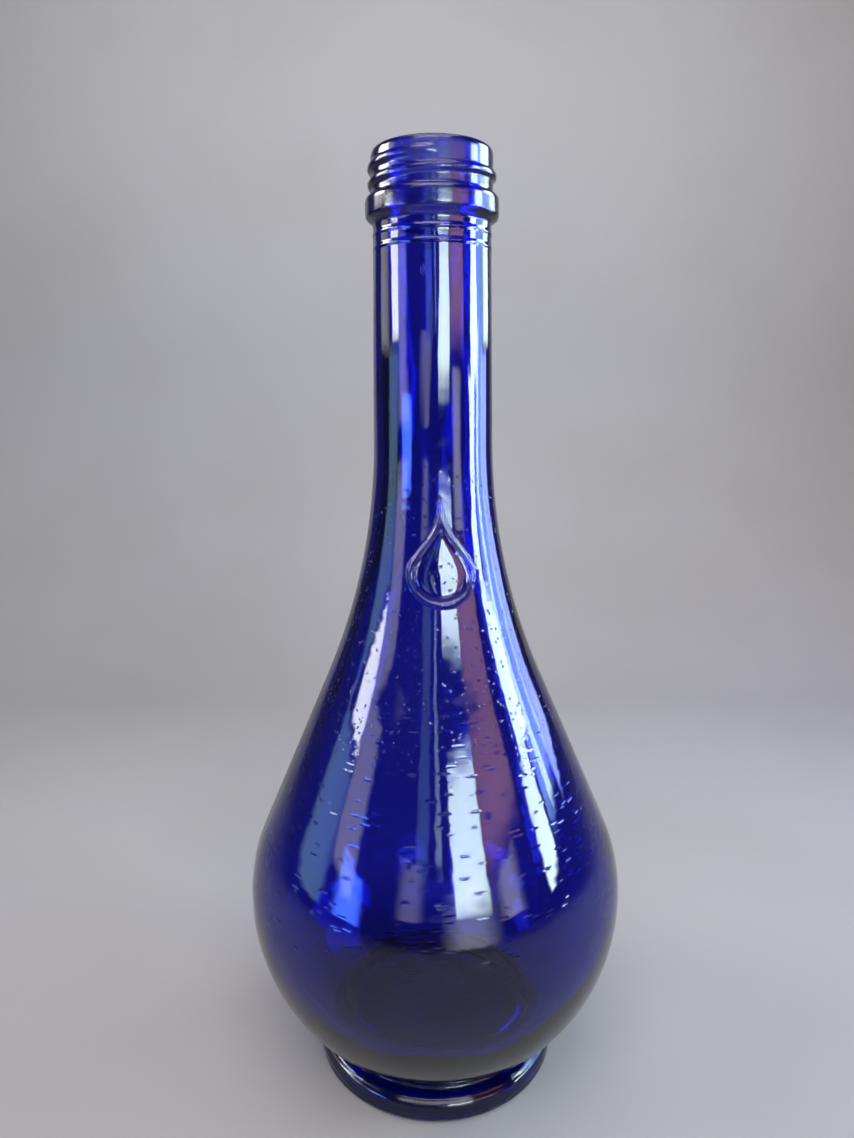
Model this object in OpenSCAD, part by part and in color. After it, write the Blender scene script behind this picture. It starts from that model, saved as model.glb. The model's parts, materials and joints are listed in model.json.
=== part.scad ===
// Long-necked bottle of cobalt blue moulded glass: a round belly on a stepped foot, a tall
// neck with a screw finish, and a raised drop on the front of the flare.
// The real bottle is one casting. It is parted here where its mould parts and where its
// named zones meet, so that each zone is a solid of its own, seated face to face on the next.
// The origin is the middle of the foot's bearing ring, +Z runs up the neck, and the drop faces -Y.
// Each zone stands on the one below it, so the height of the whole is the sum of their heights.

/* [Foot and base] */
// Outside diameter of the foot ring
foot_d = 57.7; // [54:0.1:64]
// Height of the foot ring up to the ledge round the heel
foot_h = 6; // [5.6:0.1:7]
// Rounding of the foot's lower outer edge
foot_edge_r = 1.7; // [1.2:0.1:2.4]
// Rounding of the foot's upper outer edge
ledge_edge_r = 2.8; // [2:0.1:3.2]
// Width of the flat ring that the bottle stands on
bearing_w = 1.8; // [0.8:0.1:2.4]
// Run of the slope from the bearing ring in to the base plate
bearing_slope_w = 2.2; // [1:0.1:2.4]
// Angle up that rounding to the fine groove where the mould's bottom plate ends, in degrees
ledge_groove_a = 46; // [30:1:60]
// Depth of that groove, half its width
ledge_groove_h = 0.22; // [0.1:0.02:0.3]
// Height of the underside at the rim of the base plate
recess_h = 1.5; // [1:0.1:2.5]
// Further height of the push-up at the middle of the underside
push_up_h = 2.4; // [0.5:0.1:3]
// Thickness of the glass over the middle of the push-up
base_t = 5.2; // [3.6:0.1:6]
// Diameter of the raised floor over the push-up
floor_d = 24; // [16:0.5:30]

/* [Heel] */
// Distance in from the foot's face to the bottom of the groove between foot and belly
heel_groove_in = 3.7; // [3.5:0.05:4.5]
// Radius of that groove
heel_groove_r = 1.2; // [1:0.1:1.6]
// Height of the small step where the groove meets the ledge
heel_step_h = 0.1; // [0.05:0.05:0.5]
// Height of the groove's middle over that step
heel_groove_rise = 0.75; // [0.4:0.05:0.95]
// Height of the heel's joint with the belly over the edge of the base plate
heel_rim_h = 0.8; // [0.4:0.1:2]

/* [Belly and shoulder] */
// Largest diameter of the belly
belly_d = 88.5; // [80:0.1:96]
// Distance from the axis to the centre of the belly's curve below its largest diameter
belly_low_c = 0.35; // [0:0.05:2]
// Distance from the axis to the centre of the belly's curve above its largest diameter
belly_high_c = 4.65; // [1:0.05:8]
// Distance from the axis to the centre of the bowl's curve inside the lower belly
bowl_c = 5.05; // [4.5:0.05:7]
// Lean of the straight shoulder from upright, in degrees
shoulder_lean = 23.5; // [21:0.1:26]
// Radius of the flare's hollow curve from shoulder to neck
flare_r = 136.7; // [110:0.1:160]
// Thickness of the wall of belly and shoulder
wall = 3.2; // [2.4:0.1:3.6]

/* [Neck] */
// Diameter of the neck where the flare ends
neck_base_d = 26.3; // [25.4:0.1:28]
// Diameter of the neck just under the collar
neck_top_d = 25.1; // [24.4:0.1:26]
// Length of the neck from the flare to the neck ring
neck_l = 38.3; // [25:0.1:60]
// Diameter of the bore through neck and mouth
bore_d = 18.5; // [17:0.1:19.5]
// Height of the part of the neck that the mould's neck ring shapes
neck_ring_h = 5.2; // [4.6:0.1:9]
// Height from the first parting line to the second
parting_gap = 2.75; // [2:0.05:4]
// Height that a parting line stands out
parting_h = 0.12; // [0.05:0.01:0.3]
// Width of a parting line
parting_w = 0.5; // [0.3:0.1:0.5]

/* [Finish] */
// Height of the collar with its underside
collar_h = 5.5; // [4.6:0.1:7]
// Largest diameter of the collar
collar_d = 28.3; // [27.6:0.1:30]
// Height of the slope and rounding under the collar
collar_under_h = 1.6; // [1.2:0.1:2.4]
// Radius of that rounding
collar_round_r = 0.8; // [0.4:0.1:0.9]
// Angle that the rounding turns through before it meets the slope, in degrees
collar_round_a = 60; // [45:1:75]
// Height of the draft over the collar's straight land
collar_top_h = 0.6; // [0.4:0.1:1.4]
// Distance that the draft draws in the collar's top edge
collar_draft = 0.4; // [0:0.05:0.8]
// Diameter of the barrel that carries the thread
barrel_d = 25.7; // [25:0.1:26.4]
// Height of the barrel between collar and lip
barrel_h = 7.4; // [6.6:0.1:10]
// Height of the lip over the barrel
lip_h = 1.9; // [1.6:0.1:3]
// Rounding of the lip's outer edge
lip_outer_r = 1.1; // [0.4:0.1:1.5]
// Rounding of the lip's inner edge
lip_inner_r = 0.7; // [0.3:0.1:1]

/* [Screw thread] */
// Relief of the thread's crest over the barrel
thread_relief = 0.7; // [0.4:0.05:1]
// Rise of the thread in one turn
thread_pitch = 3.18; // [2.6:0.01:3.6]
// Depth of the thread's start below the top of the barrel
thread_drop = 1.1; // [1.1:0.1:1.6]
// Clear height between the thread's end and the collar
thread_gap = 0.53; // [0.3:0.01:1.5]
// Width of the thread at its root
thread_root_w = 2; // [1.4:0.1:2.2]
// Width of the thread's crest
thread_crest_w = 0.8; // [0.4:0.1:1.2]
// Length of the taper at each end of the thread, in degrees of turn
thread_taper = 24; // [12:1:40]

/* [Drop] */
// Width of the raised drop with its bevel
drop_w = 14.2; // [12:0.1:17]
// Height of the raised drop with its bevel
drop_h = 22.8; // [19:0.1:26]
// Distance of the drop's tip below the end of the flare
drop_tip_below = 13; // [8:0.1:20]
// Width of the bevel round the boss
drop_bevel_w = 1.4; // [0.8:0.05:2]
// Extra length of the bevel at the tip
drop_tip_l = 5; // [2:0.1:6]
// Height of the drop's widest line, as a share of its height
widest_share = 0.31; // [0.26:0.01:0.4]
// How fast the frame narrows over that line, as the power of its bell curve
drop_bell = 5; // [4:0.5:9]
// The same for the boss, which keeps its width longer
boss_bell = 1.5; // [1:0.25:4]
// Share of the width that runs on as a thin spine to the tip
drop_spine = 0.1; // [0.05:0.01:0.2]
// Roundness of that spine's end: 0.5 is an ellipse, and less is blunter
spine_end = 0.3; // [0.2:0.05:0.5]
// Height of the boss's crown from its foot, as a share of the boss's height
crown_share = 0.35; // [0.25:0.05:0.4]
// Relief of the bevel at its outer edge
drop_edge_h = 0.15; // [0.1:0.05:0.4]
// Relief of the bevel's rounded crest, half way across it
drop_crest_h = 1; // [0.6:0.05:1.3]
// Relief of the bevel where it dips to the boss
drop_dip_h = 0.35; // [0.2:0.05:0.5]
// Relief of the boss at its rim
boss_rim_h = 0.4; // [0.3:0.05:0.8]
// Relief of the boss at its crown
boss_crown_h = 1.3; // [0.9:0.1:2]
// Flatness of the boss's face, as the power of its curve: 2 is a plain dome
boss_flat = 4; // [2:0.5:6]

/* [Hidden] */

$fn = 96;
seat_fn = 240;         // finer rounds for the thin seats cut under the raised pieces
arc_step = 3;          // angle between the points of a curve, in degrees
plate_steps = 14;      // points from the axis to the edge of the base plate
belly_steps = 8;       // points up the upper belly
flare_steps = 16;      // points up the flare
thread_step = 10;      // angle between two sections of the thread, in degrees
outline_points = 64;   // points round a drop
joint_in = 0.6;        // how far a raised piece is drawn into the wall before its seat is cut
thread_sink = 0.2;     // how far under the barrel the thread's ends start, as a share of its relief
boss_rings = [1, 0.94, 0.84, 0.65, 0.4, 0.15]; // size of each ring of the boss, as a share of its outline
cobalt = [0.08, 0.12, 0.62, 0.75];
deep_cobalt = [0.05, 0.06, 0.42, 0.8];
pale_cobalt = [0.2, 0.35, 0.85, 0.75];

foot_r = foot_d / 2;
belly_r = belly_d / 2;
bore_r = bore_d / 2;
neck_base_r = neck_base_d / 2;
neck_top_r = neck_top_d / 2;
barrel_r = barrel_d / 2;
collar_r = collar_d / 2;

// The foot: outer edge of its flat bearing ring, and the joint with the base plate
bearing_r = foot_r - foot_edge_r;
base_r = bearing_r - bearing_w - bearing_slope_w;

// The lower belly is one arc outside and the bowl a tighter one inside, so the heel is thick
belly_low_r = belly_r - belly_low_c;
bowl_r = belly_r - wall - bowl_c;

// The groove over the foot: its circle touches the lower belly's arc, which sets the belly's height
groove_c = foot_r - heel_groove_in + heel_groove_r;
groove_low_z = foot_h + heel_step_h;
groove_z = groove_low_z + heel_groove_rise;
belly_z = groove_z + sqrt(pow(belly_low_r + heel_groove_r, 2) - pow(groove_c - belly_low_c, 2));
groove_top_a = atan2(belly_z - groove_z, belly_low_c - groove_c);
groove_low_a = 180 + asin(heel_groove_rise / heel_groove_r);

// The upper belly ends where it leans as the straight shoulder does
belly_high_r = belly_r - belly_high_c;
shoulder_z = belly_z + belly_high_r * sin(shoulder_lean);
shoulder_r = belly_high_c + belly_high_r * cos(shoulder_lean);

// The flare's arc touches both the shoulder's slope and the upright neck
flare_in = shoulder_r - neck_base_r + flare_r * (1 / cos(shoulder_lean) - 1);
neck_base_z = shoulder_z + flare_in / tan(shoulder_lean);
flare_z = neck_base_z - flare_r * sin(shoulder_lean);
flare_c = neck_base_r + flare_r;

neck_ring_z = neck_base_z + neck_l;
collar_z = neck_ring_z + neck_ring_h;
finish_z = collar_z + collar_h;
lip_z = finish_z + barrel_h;
top_z = lip_z + lip_h;

// Radius of the outside at a height between the heel and the neck ring
function out_r(z) =
    z < belly_z ? belly_low_c + sqrt(pow(belly_low_r, 2) - pow(z - belly_z, 2)) :
    z < shoulder_z ? belly_high_c + sqrt(pow(belly_high_r, 2) - pow(z - belly_z, 2)) :
    z < flare_z ? shoulder_r - (z - shoulder_z) * tan(shoulder_lean) :
    z < neck_base_z ? flare_c - sqrt(pow(flare_r, 2) - pow(neck_base_z - z, 2)) :
    neck_base_r + (neck_top_r - neck_base_r) * (z - neck_base_z) / (collar_z - neck_base_z);

// Thickness of the wall at a height: even in belly and shoulder, then easing to the neck's
function wall_at(z) =
    let (t = min(1, max(0, (z - flare_z) / (neck_base_z - flare_z))))
    wall + (neck_base_r - bore_r - wall) * t;

// Radius of the inside at a height over the heel
function in_r(z) =
    z < belly_z ? bowl_c + sqrt(pow(bowl_r, 2) - pow(z - belly_z, 2)) :
    z < neck_base_z ? out_r(z) - wall_at(z) : bore_r;

// Height of the inside at a radius in the bowl over the base, and of the floor over the push-up
function bowl_z(r) = belly_z - sqrt(pow(bowl_r, 2) - pow(max(0, r - bowl_c), 2));
heel_z = bowl_z(base_r) + heel_rim_h;
// Angles at which the outer arc and the bowl pass the heel's joint with the belly
heel_out_a = -asin((belly_z - heel_z) / belly_low_r);
heel_in_a = -asin((belly_z - heel_z) / bowl_r);
floor_r = floor_d / 2;
floor_top_z = recess_h + push_up_h + base_t;
function floor_z(r) = r > floor_r ? bowl_z(r) :
    bowl_z(floor_r) + (floor_top_z - bowl_z(floor_r)) * (1 + cos(180 * r / floor_r)) / 2;
function underside_z(r) = recess_h + push_up_h * (1 + cos(180 * r / base_r)) / 2;

// n + 1 even steps from a to b
function steps(a, b, n) = [for (i = [0:n]) a + (b - a) * i / n];
// Points of an arc about a centre, from one angle to another
function arc(c, z, r, a, b) =
    let (n = max(2, ceil(abs(b - a) / arc_step)))
    [for (t = steps(a, b, n)) [c + r * cos(t), z + r * sin(t)]];

// Ring of wall between two heights: n steps up the outside, then down the inside
module wall_ring(z0, z1, n) {
    hs = steps(z0, z1, n);
    rotate_extrude()
        polygon(concat([for (z = hs) [out_r(z), z]], [for (i = [n:-1:0]) [in_r(hs[i]), hs[i]]]));
}

// Disc of glass that closes the bottle, domed up underneath
module base_plate() {
    rs = steps(0, base_r, plate_steps);
    color(deep_cobalt)
        rotate_extrude()
            polygon(concat([for (r = rs) [r, underside_z(r)]],
                           [for (i = [plate_steps:-1:0]) [rs[i], floor_z(rs[i])]]));
}

// Foot with a round lower edge, an upright face and a wide rounding up to the ledge, which a
// fine groove runs along
module foot_ring() {
    ledge_c = foot_r - ledge_edge_r;
    ledge_z = foot_h - ledge_edge_r;
    groove_half_a = asin(ledge_groove_h / ledge_edge_r);
    groove_r = ledge_edge_r - ledge_groove_h;
    color(pale_cobalt)
        rotate_extrude()
            polygon(concat([[base_r, recess_h], [bearing_r - bearing_w, 0]],
                           arc(bearing_r, foot_edge_r, foot_edge_r, -90, 0),
                           arc(ledge_c, ledge_z, ledge_edge_r, 0, ledge_groove_a - groove_half_a),
                           [[ledge_c + groove_r * cos(ledge_groove_a),
                             ledge_z + groove_r * sin(ledge_groove_a)]],
                           arc(ledge_c, ledge_z, ledge_edge_r, ledge_groove_a + groove_half_a, 90),
                           [[base_r, foot_h]]));
}

// Heel: a hollow groove over the foot, opening into the underside of the belly
module heel() {
    step_r = groove_c + heel_groove_r * cos(groove_low_a);
    color(deep_cobalt)
        rotate_extrude()
            polygon(concat([[base_r, foot_h], [step_r, foot_h]],
                           arc(groove_c, groove_z, heel_groove_r, groove_low_a, groove_top_a),
                           arc(belly_low_c, belly_z, belly_low_r, groove_top_a - 180, heel_out_a),
                           arc(bowl_c, belly_z, bowl_r, heel_in_a, -acos((base_r - bowl_c) / bowl_r))));
}

module belly() {
    hs = steps(belly_z, shoulder_z, belly_steps);
    color(cobalt)
        rotate_extrude()
            polygon(concat(arc(belly_low_c, belly_z, belly_low_r, heel_out_a, 0),
                           [for (i = [1:belly_steps]) [out_r(hs[i]), hs[i]]],
                           [for (i = [belly_steps:-1:1]) [in_r(hs[i]), hs[i]]],
                           arc(bowl_c, belly_z, bowl_r, 0, heel_in_a)));
}

module shoulder() { color(cobalt) wall_ring(shoulder_z, flare_z, 1); }

module flare() { color(cobalt) wall_ring(flare_z, neck_base_z, flare_steps); }

module neck() { color(cobalt) wall_ring(neck_base_z, neck_ring_z, 1); }

// One fine line that a joint of the mould leaves round the neck
function parting_line(z) =
    [[out_r(z), z], [out_r(z) + parting_h, z + parting_w / 2], [out_r(z + parting_w), z + parting_w]];

// Top of the neck, shaped by the mould's neck ring, with its two parting lines
module neck_ring() {
    color(cobalt)
        rotate_extrude()
            polygon(concat(parting_line(neck_ring_z), parting_line(neck_ring_z + parting_gap),
                           [[out_r(collar_z), collar_z], [bore_r, collar_z], [bore_r, neck_ring_z]]));
}

// Bead that a cap is gripped under: sloped beneath, a straight land, then a slight draft
module collar() {
    land_z = collar_z + collar_under_h;
    color(pale_cobalt)
        rotate_extrude()
            polygon(concat([[bore_r, collar_z], [neck_top_r, collar_z]],
                           arc(collar_r - collar_round_r, land_z, collar_round_r, -collar_round_a, 0),
                           [[collar_r, finish_z - collar_top_h], [collar_r - collar_draft, finish_z],
                            [bore_r, finish_z]]));
}

module finish_barrel() {
    color(cobalt)
        translate([0, 0, finish_z])
            difference() {
                cylinder(h = barrel_h, r = barrel_r);
                translate([0, 0, -1]) cylinder(h = barrel_h + 2, r = bore_r);
            }
}

// One section across the thread, from inside the barrel to a share s of the crest's relief.
// Its flanks run straight from the crest to the root's width at the barrel, and on inwards.
function thread_section(s) =
    let (crest = thread_crest_w / 2, flank = (thread_root_w / 2 - crest) / thread_relief,
         r0 = barrel_r - joint_in, r1 = barrel_r + s * thread_relief,
         w0 = crest + flank * (thread_relief + joint_in),
         w1 = crest + flank * (1 - s) * thread_relief / 2)
    [[r0, -w0], [r1, -w1], [r1, w1], [r0, w0]];

// Solid swept through a row of rings with the same number of points each
module swept(rings) {
    n = len(rings[0]);
    last = (len(rings) - 1) * n;
    polyhedron(
        points = [for (ring = rings) for (p = ring) p],
        faces = concat(
            [[for (i = [0:n - 1]) i]],
            [for (k = [1:len(rings) - 1]) for (i = [0:n - 1])
                each [[(k - 1) * n + i, k * n + i, (k - 1) * n + (i + 1) % n],
                      [(k - 1) * n + (i + 1) % n, k * n + i, k * n + (i + 1) % n]]],
            [[for (i = [n - 1:-1:0]) last + i]]));
}

// Right-handed ridge that starts at the front and runs down to the left
module screw_thread() {
    start_z = lip_z - thread_drop;
    end_z = finish_z + thread_gap + thread_root_w / 2;
    sweep = 360 * (start_z - end_z) / thread_pitch;
    count = ceil(sweep / thread_step);
    color(pale_cobalt)
        difference() {
            swept([for (i = [0:count])
                let (a = sweep * i / count, turn = -90 - a, z = start_z - thread_pitch * a / 360,
                     share = min(1, a / thread_taper, (sweep - a) / thread_taper),
                     s = -thread_sink + (1 + thread_sink) * share)
                [for (p = thread_section(s)) [p[0] * cos(turn), p[0] * sin(turn), z + p[1]]]]);
            translate([0, 0, collar_z]) cylinder(h = top_z - collar_z, r = barrel_r, $fn = seat_fn);
        }
}

// Rim of the mouth, rounded outside and in
module lip() {
    color(pale_cobalt)
        rotate_extrude()
            polygon(concat([[bore_r, lip_z], [barrel_r, lip_z]],
                           arc(barrel_r - lip_outer_r, top_z - lip_outer_r, lip_outer_r, 0, 90),
                           arc(bore_r + lip_inner_r, top_z - lip_inner_r, lip_inner_r, 90, 180)));
}

// Half width of a drop at a share s of its height, as a share of its largest: half an ellipse up
// to the widest line, and a bell curve with a thin spine from there to the tip
function drop_half(s, bell) =
    s < widest_share ? sqrt(1 - pow(1 - s / widest_share, 2)) :
    let (u = (s - widest_share) / (1 - widest_share))
    (1 - drop_spine) * (exp(-bell * u * u) - exp(-bell)) / (1 - exp(-bell))
        + drop_spine * pow(1 - u, spine_end);
// Outline of a drop of a given width and height, tip up, as [x, z] from its lowest point
function drop_outline(w, h, bell) =
    [for (i = [0:outline_points - 1])
        let (t = 360 * i / outline_points, v = min(t, 360 - t),
             s = v < 90 ? 1 - (1 - widest_share) * v / 90 : widest_share * (1 - sin(v - 90)))
        [sign(180 - t) * w / 2 * drop_half(s, bell), h * s]];
// A point of that outline set on the flare with a given relief
function on_flare(p, relief) =
    let (z = drop_z + p[1], r = out_r(z) + relief) [p[0], -sqrt(pow(r, 2) - pow(p[0], 2)), z];

drop_z = neck_base_z - drop_tip_below - drop_h;
boss_w = drop_w - 2 * drop_bevel_w;
boss_h = drop_h - 2 * drop_bevel_w - drop_tip_l;
boss_outline = [for (p = drop_outline(boss_w, boss_h, boss_bell)) [p[0], p[1] + drop_bevel_w]];
boss_mid = [0, drop_bevel_w + boss_h * crown_share];

// The flare as a solid plug, which cuts the seat of what stands on it
module flare_plug() {
    hs = steps(flare_z, neck_base_z, flare_steps);
    rotate_extrude($fn = seat_fn)
        polygon(concat([[0, flare_z]], [for (z = hs) [out_r(z), z]], [[0, neck_base_z]]));
}

// Rounded frame round the drop
module drop_bevel() {
    outer = drop_outline(drop_w, drop_h, drop_bell);
    crest = [for (i = [0:outline_points - 1]) (outer[i] + boss_outline[i]) / 2];
    color(pale_cobalt)
        difference() {
            closed_frame([[for (p = outer) on_flare(p, -joint_in)],
                          [for (p = outer) on_flare(p, drop_edge_h)],
                          [for (p = crest) on_flare(p, drop_crest_h)],
                          [for (p = boss_outline) on_flare(p, drop_dip_h)],
                          [for (p = boss_outline) on_flare(p, -joint_in)]]);
            flare_plug();
        }
}

// Solid between loops with the same number of points each, the last joined to the first
module closed_frame(loops) {
    n = len(loops[0]);
    count = len(loops);
    polyhedron(
        points = [for (loop = loops) for (p = loop) p],
        faces = [for (k = [0:count - 1]) for (i = [0:n - 1])
            let (next = (k + 1) % count * n, a = k * n + i, b = k * n + (i + 1) % n,
                 c = next + i, d = next + (i + 1) % n)
            each [[a, c, b], [b, c, d]]]);
}

// Drop with a nearly flat face inside the frame
module drop_boss() {
    rings = [for (s = boss_rings)
        let (relief = boss_rim_h + (boss_crown_h - boss_rim_h) * sqrt(1 - pow(s, boss_flat)))
        [for (p = boss_outline) on_flare(boss_mid + s * (p - boss_mid), relief)]];
    color(pale_cobalt)
        difference() {
            swept(concat([[for (p = boss_outline) on_flare(p, -joint_in)]], rings));
            flare_plug();
        }
}

base_plate();
foot_ring();
heel();
belly();
shoulder();
flare();
neck();
neck_ring();
collar();
finish_barrel();
screw_thread();
lip();
drop_bevel();
drop_boss();
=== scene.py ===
# %% [markdown]
# # A cobalt blue glass bottle
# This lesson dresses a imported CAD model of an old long-necked bottle. The bottle is one casting of
# deep blue glass: a round belly on a stepped foot, a tall neck with a screw finish, and a raised
# drop on the front of the flare. Glass is all about what bends through it and what mirrors in it,
# so most of the work goes into an even closed wall, its small faults, and the lamps around it.

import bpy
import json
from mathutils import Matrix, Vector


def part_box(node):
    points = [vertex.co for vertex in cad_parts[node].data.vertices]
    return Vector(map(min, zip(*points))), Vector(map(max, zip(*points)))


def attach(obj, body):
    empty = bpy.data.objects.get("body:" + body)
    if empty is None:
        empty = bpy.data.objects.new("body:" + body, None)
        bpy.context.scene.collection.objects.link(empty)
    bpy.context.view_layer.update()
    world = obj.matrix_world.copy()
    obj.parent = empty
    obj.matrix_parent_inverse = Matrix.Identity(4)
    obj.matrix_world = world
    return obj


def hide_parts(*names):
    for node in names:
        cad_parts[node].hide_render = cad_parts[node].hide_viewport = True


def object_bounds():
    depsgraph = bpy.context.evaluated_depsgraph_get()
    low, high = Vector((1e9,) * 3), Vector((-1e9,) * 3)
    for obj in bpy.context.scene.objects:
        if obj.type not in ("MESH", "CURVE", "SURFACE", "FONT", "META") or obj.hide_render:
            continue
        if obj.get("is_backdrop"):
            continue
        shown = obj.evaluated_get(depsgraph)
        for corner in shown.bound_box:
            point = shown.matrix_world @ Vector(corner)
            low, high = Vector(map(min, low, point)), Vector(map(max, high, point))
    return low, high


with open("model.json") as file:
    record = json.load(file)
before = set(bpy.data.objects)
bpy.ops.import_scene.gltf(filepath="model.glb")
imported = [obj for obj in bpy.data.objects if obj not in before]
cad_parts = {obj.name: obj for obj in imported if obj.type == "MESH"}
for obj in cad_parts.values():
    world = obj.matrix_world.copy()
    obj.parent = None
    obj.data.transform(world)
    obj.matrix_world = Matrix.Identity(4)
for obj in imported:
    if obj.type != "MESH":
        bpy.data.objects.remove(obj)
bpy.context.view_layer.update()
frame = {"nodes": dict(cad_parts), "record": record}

# %% Tools and units
import json
import math
import random

import bpy
import numpy as np
from mathutils import Matrix, Vector

MM = 0.001
scene = bpy.context.scene

# %% [markdown]
# ## Sizes come from the model
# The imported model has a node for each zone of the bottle. Their boxes give every height and most
# radii, so the glass made here follows the model when a size changes. All sizes below are in
# millimetres, as on a drawing. What the boxes can't tell, such as a rounding, has a name of its own.

# %% Read the zones
def low_of(node):
    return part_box(node)[0].z / MM


def top_of(node):
    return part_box(node)[1].z / MM


def radius_of(node):
    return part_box(node)[1].x / MM


foot_r, foot_h, base_r = radius_of("foot_ring"), top_of("foot_ring"), radius_of("base_plate")
belly_r, shoulder_r, shoulder_z = radius_of("belly"), radius_of("shoulder"), low_of("shoulder")
flare_z, neck_z = low_of("flare"), low_of("neck")
neck_r, neck_ring_z, collar_z = radius_of("neck"), low_of("neck_ring"), low_of("collar")
collar_r, finish_z, barrel_r = radius_of("collar"), low_of("finish_barrel"), radius_of("finish_barrel")
lip_z, top_z = low_of("lip"), top_of("lip")
bore_r = next(m for m in frame["record"]["mounts"] if m["name"] == "mouth_bore")["dims"]["r_mm"]
print(f"belly {2 * belly_r:.1f} wide, bottle {top_z:.1f} tall, bore {2 * bore_r:.1f}")

# %% [markdown]
# ## The camera
# The bottle is seen from close by, a little from above, through a wide lens: that is why the neck
# looks large and the foot small. The lens is worked out from the frame's height in pixels and the
# distance of one radian in pixels. The camera stands a few degrees round towards the left, so the
# drop on the front lands just right of the axis.

# %% Camera
sensor_wide, frame_tall = 36, 1138
pixels_per_radian = 827
camera_from_axis, camera_height = 186.7, 157.2
camera_round, camera_yaw, camera_pitch, camera_roll = (math.radians(a) for a in (6.0, 0.47, 10.96, 0.32))

camera_data = bpy.data.cameras.new("camera")
camera_data.lens = sensor_wide * pixels_per_radian / frame_tall
camera_data.clip_start, camera_data.clip_end = 0.01, 20
camera = bpy.data.objects.new("camera", camera_data)
scene.collection.objects.link(camera)
camera.matrix_world = (
    Matrix.Translation(Vector((-math.sin(camera_round) * camera_from_axis,
                               -math.cos(camera_round) * camera_from_axis, camera_height)) * MM)
    @ Matrix.Rotation(camera_yaw - camera_round, 4, "Z")
    @ Matrix.Rotation(math.pi / 2 - camera_pitch, 4, "X")
    @ Matrix.Rotation(-camera_roll, 4, "Z"))
scene.camera = camera
print(f"lens {camera_data.lens:.2f} mm")

# %% [markdown]
# ## The stage
# The bottle stands on a long sheet of pale paper that lies on a round table and curves up behind
# it. A curved sheet, which studios call a sweep, has no hard corner, and glass would show one. The
# sheet is only as wide as the view. Past its edges the room is dimmer, and that is what draws a
# darker rim down the sides of clear or coloured glass. A row of points is swept sideways for it.

# %% Table top and paper sweep
table_r, table_below, rim_points = 1.1, 0.001, 96
sweep_half, sweep_front, sweep_back, sweep_curve, sweep_top = 0.37, -0.6, 0.44, 0.2, 1.0
sweep_across, flat_rows, curve_rows, back_rows = 9, 9, 33, 6


def add_stage(name, points, faces):
    mesh = bpy.data.meshes.new(name)
    mesh.from_pydata(points, [], faces)
    mesh.polygons.foreach_set("use_smooth", [True] * len(mesh.polygons))
    piece = bpy.data.objects.new(name, mesh)
    scene.collection.objects.link(piece)
    piece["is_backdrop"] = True
    return piece


rim_turns = np.linspace(0, 2 * math.pi, rim_points + 1)[:-1]
rim = [(table_r * math.cos(a), table_r * math.sin(a), -table_below) for a in rim_turns]
wedges = [(i, (i + 1) % rim_points, rim_points) for i in range(rim_points)]
table_top = add_stage("table_top", rim + [(0, 0, -table_below)], wedges)

side_view = [(y, 0) for y in np.linspace(sweep_front, sweep_back - sweep_curve, flat_rows)]
side_view += [(sweep_back - sweep_curve * (1 - math.sin(a)), sweep_curve * (1 - math.cos(a)))
              for a in np.linspace(0, math.pi / 2, curve_rows)[1:]]
side_view += [(sweep_back, z) for z in np.linspace(sweep_curve, sweep_top, back_rows)[1:]]
across = np.linspace(-sweep_half, sweep_half, sweep_across)
turned = Matrix.Rotation(-camera_round, 4, "Z")
sweep_points = [tuple(turned @ Vector((x, y, z))) for y, z in side_view for x in across]
first_corners = [k * sweep_across + i for k in range(len(side_view) - 1) for i in range(sweep_across - 1)]
sweep_faces = [(c, c + 1, c + sweep_across + 1, c + sweep_across) for c in first_corners]
paper_sweep = add_stage("paper_sweep", sweep_points, sweep_faces)
print("paper sweep of", len(paper_sweep.data.polygons), "faces")

# %% [markdown]
# ## The outline of the glass
# A bottle like this is drawn as half an outline and turned round its axis. Blender's Screw or Spin
# could turn it, but the drop, the thread and the unevenness of the glass need their own points, so
# the outline becomes rows of points and the turning is done by hand. First come the curves of the
# outside, from the middle of the underside up to the rim.

# %% Curves of the outline
foot_edge_r, ledge_edge_r = 1.7, 2.8
bearing_w = 1.8
recess_h, push_up_h, base_t, floor_r = 1.5, 2.4, 5.2, 12.0
ledge_groove_a, ledge_groove_h = 46, 0.22
heel_groove_in, heel_groove_r, heel_step_h, heel_groove_rise = 3.7, 1.2, 0.1, 0.75
belly_low_c, belly_high_c, bowl_c, wall = 0.35, 4.65, 5.05, 3.2
arc_points = 40


def arc(centre_r, centre_z, radius, start, stop):
    turns = np.radians(np.linspace(start, stop, arc_points))
    return np.stack([centre_r + radius * np.cos(turns), centre_z + radius * np.sin(turns)], 1)


def line(*points):
    return np.array(points, float)


belly_low_r, belly_high_r = belly_r - belly_low_c, belly_r - belly_high_c
groove_c = foot_r - heel_groove_in + heel_groove_r
groove_low_z = foot_h + heel_step_h
groove_z = groove_low_z + heel_groove_rise
belly_z = groove_z + math.sqrt((belly_low_r + heel_groove_r) ** 2 - (groove_c - belly_low_c) ** 2)
groove_top = math.degrees(math.atan2(belly_z - groove_z, belly_low_c - groove_c))
groove_low = 180 + math.degrees(math.asin(heel_groove_rise / heel_groove_r))
shoulder_lean = math.degrees(math.asin((shoulder_z - belly_z) / belly_high_r))
flare_r = (neck_z - flare_z) / math.sin(math.radians(shoulder_lean))
print(f"belly widest at {belly_z:.1f}, shoulder leans {shoulder_lean:.1f} degrees")
print(f"flare radius {flare_r:.1f}")

# %% [markdown]
# Mould lines, the collar and the lip are drawn with sharp corners first. Real glass has none: it
# was soft when the mould closed, and fire smoothed it. So the whole outline is cut into very small
# steps and blurred along its length: a little everywhere, more at the fire-finished collar and lip,
# and most on the inside under the collar, where no mould touched the glass.

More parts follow.
